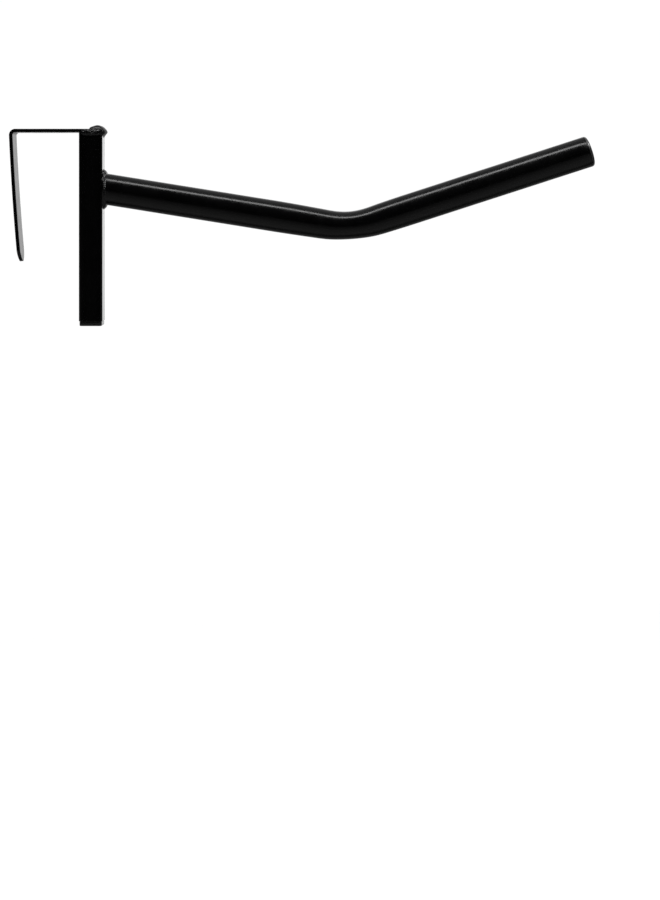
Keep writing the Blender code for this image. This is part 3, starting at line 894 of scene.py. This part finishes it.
def make_floor():
    """A pale floor that fades out before its edge."""
    work = bmesh.new()
    bmesh.ops.create_circle(work, cap_ends=True, segments=96, radius=FLOOR_RADIUS)
    mesh = bpy.data.meshes.new("floor")
    work.to_mesh(mesh)
    work.free()
    floor = bpy.data.objects.new("floor", mesh)
    floor.location = FLOOR_PLACE
    bpy.context.scene.collection.objects.link(floor)
    material = bpy.data.materials.new("pale_floor")
    material.use_nodes = True
    nodes = Nodes(material.node_tree)
    length = nodes.add("VectorMath", operation="LENGTH")
    nodes.link(nodes.add("TexCoord").outputs["Object"], length.inputs[0])
    fade = nodes.spread(length.outputs["Value"], 0.5, 1.8, 0.0, 1.0)
    diffuse = nodes.add("BsdfDiffuse")
    diffuse.inputs["Color"].default_value = (0.86, 0.86, 0.86, 1.0)
    clear = nodes.add("BsdfTransparent")
    mixed = nodes.add("MixShader")
    nodes.link(fade, mixed.inputs[0])
    nodes.link(diffuse.outputs[0], mixed.inputs[1])
    nodes.link(clear.outputs[0], mixed.inputs[2])
    nodes.link(mixed.outputs[0], nodes.add("OutputMaterial").inputs["Surface"])
    mesh.materials.append(material)
    floor.visible_glossy = False


def studio_arc(nodes, depth, stops):
    """Brightness by how far back a direction points, smooth between the stops."""
    place = nodes.maths("MULTIPLY_ADD", depth, 0.5, 0.5)
    ramp = nodes.add("ValToRGB")
    ramp.color_ramp.interpolation = "EASE"
    elements = ramp.color_ramp.elements
    while len(elements) < len(stops):
        elements.new(0.5)
    for element, (back, light) in zip(elements, stops):
        element.position = back / 2 + 0.5
        element.color = (light, light, light, 1.0)
    nodes.link(place, ramp.inputs["Fac"])
    return ramp.outputs["Color"]


def make_world():
    """White surroundings; the gloss sees a bright wall behind, a dim ceiling and floor, and dark in front."""
    world = bpy.data.worlds.new("studio")
    bpy.context.scene.world = world
    world.use_nodes = True
    nodes = Nodes(world.node_tree)
    direction = nodes.add("SeparateXYZ")
    nodes.link(nodes.add("TexCoord").outputs["Generated"], direction.inputs[0])
    back, height = direction.outputs["Y"], direction.outputs["Z"]
    level = studio_arc(nodes, back, LEVEL_STOPS)
    ceiling = studio_arc(nodes, back, CEILING_STOPS)
    ground = studio_arc(nodes, back, GROUND_STOPS)
    above = nodes.spread(height, 0.08, 0.40, 0.0, 1.0)
    below = nodes.spread(height, -0.22, 0.0, 1.0, 0.0)
    studio = nodes.add("Background")
    nodes.link(nodes.mix(below, nodes.mix(above, level, ceiling), ground), studio.inputs["Color"])
    white = nodes.add("Background")
    white.inputs["Color"].default_value = WHITE
    white.inputs["Strength"].default_value = BACKGROUND_STRENGTH
    choose = nodes.add("MixShader")
    nodes.link(nodes.add("LightPath").outputs["Is Camera Ray"], choose.inputs[0])
    nodes.link(studio.outputs[0], choose.inputs[1])
    nodes.link(white.outputs[0], choose.inputs[2])
    nodes.link(choose.outputs[0], nodes.add("OutputWorld").inputs["Surface"])


def add_softbox(name, place, target, size, power):
    """A rectangular light of a size in metres, aimed at a point, that the camera doesn't see."""
    data = bpy.data.lights.new(name, "AREA")
    data.shape = "RECTANGLE"
    data.size, data.size_y = size
    data.energy = power
    light = bpy.data.objects.new(name, data)
    light.location = place
    light.rotation_euler = (Vector(target) - Vector(place)).to_track_quat("-Z", "Y").to_euler()
    light.visible_camera = False
    bpy.context.scene.collection.objects.link(light)
    return light


def make_lights():
    """A strip for the streak along the arm, a box for the sparkle on the welds, and a light for the floor."""
    add_softbox("overhead_strip", (OBJECT_MIDDLE_X, -0.40, 1.41), (0.38, 0.0, -0.08), (3.0, 0.28), 16.5)
    add_softbox("high_side_box", (1.55, -0.62, 1.30), (0.07, 0.0, 0.0), (0.55, 0.55), 11.0)
    floor_fill = add_softbox("floor_fill", (OBJECT_MIDDLE_X, 0.3, 2.6), FLOOR_PLACE, (2.6, 2.6), 150.0)
    floor_fill.visible_glossy = False


def main():
    make_camera()
    make_strap()
    make_post()
    make_post_plug()
    make_arm()
    make_arm_plug()
    make_side_bead("weld_seam_front", -1, "strap_weld_front")
    make_side_bead("weld_seam_back", 1, "strap_weld_back")
    make_end_bead()
    make_arm_bead()
    make_spatter()
    make_floor()
    make_world()
    make_lights()
    bpy.context.scene.view_settings.view_transform = "Standard"


main()
